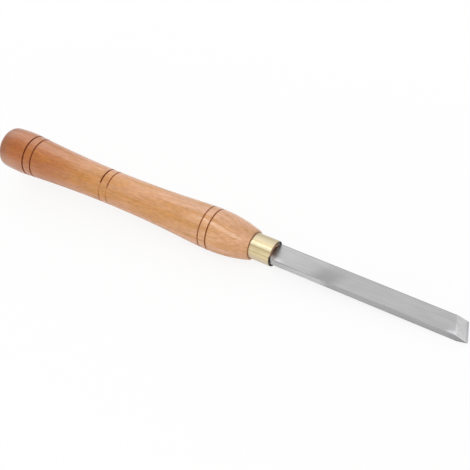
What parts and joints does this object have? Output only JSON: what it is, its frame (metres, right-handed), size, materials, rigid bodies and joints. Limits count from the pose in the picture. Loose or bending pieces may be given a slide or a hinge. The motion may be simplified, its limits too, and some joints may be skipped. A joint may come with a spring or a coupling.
{
  "type": "woodturning skew chisel",
  "caption": "Lathe skew chisel: flat steel blade with a skewed, doubly bevelled cutting edge, its tang glued into a long turned beech handle under a brass ferrule.",
  "frame": {"origin": "on the tool's axis at the mouth of the ferrule", "axes": "+X along the tool from the butt to the cutting edge; +Z square to the blade's wide faces, upwards as the tool lies; the blade's long point is on the -Y side"},
  "size_m": [0.457, 0.0386, 0.0386],
  "materials": {
    "beech": "satin lacquer",
    "brass": "polished",
    "ground_steel": "fine ground",
    "cured_adhesive": "matte"
  },
  "bodies": {
    "root": {"handle": "beech", "ferrule": "brass", "blade": "ground_steel", "tang_adhesive": "cured_adhesive"}
  },
  "joints": []
}
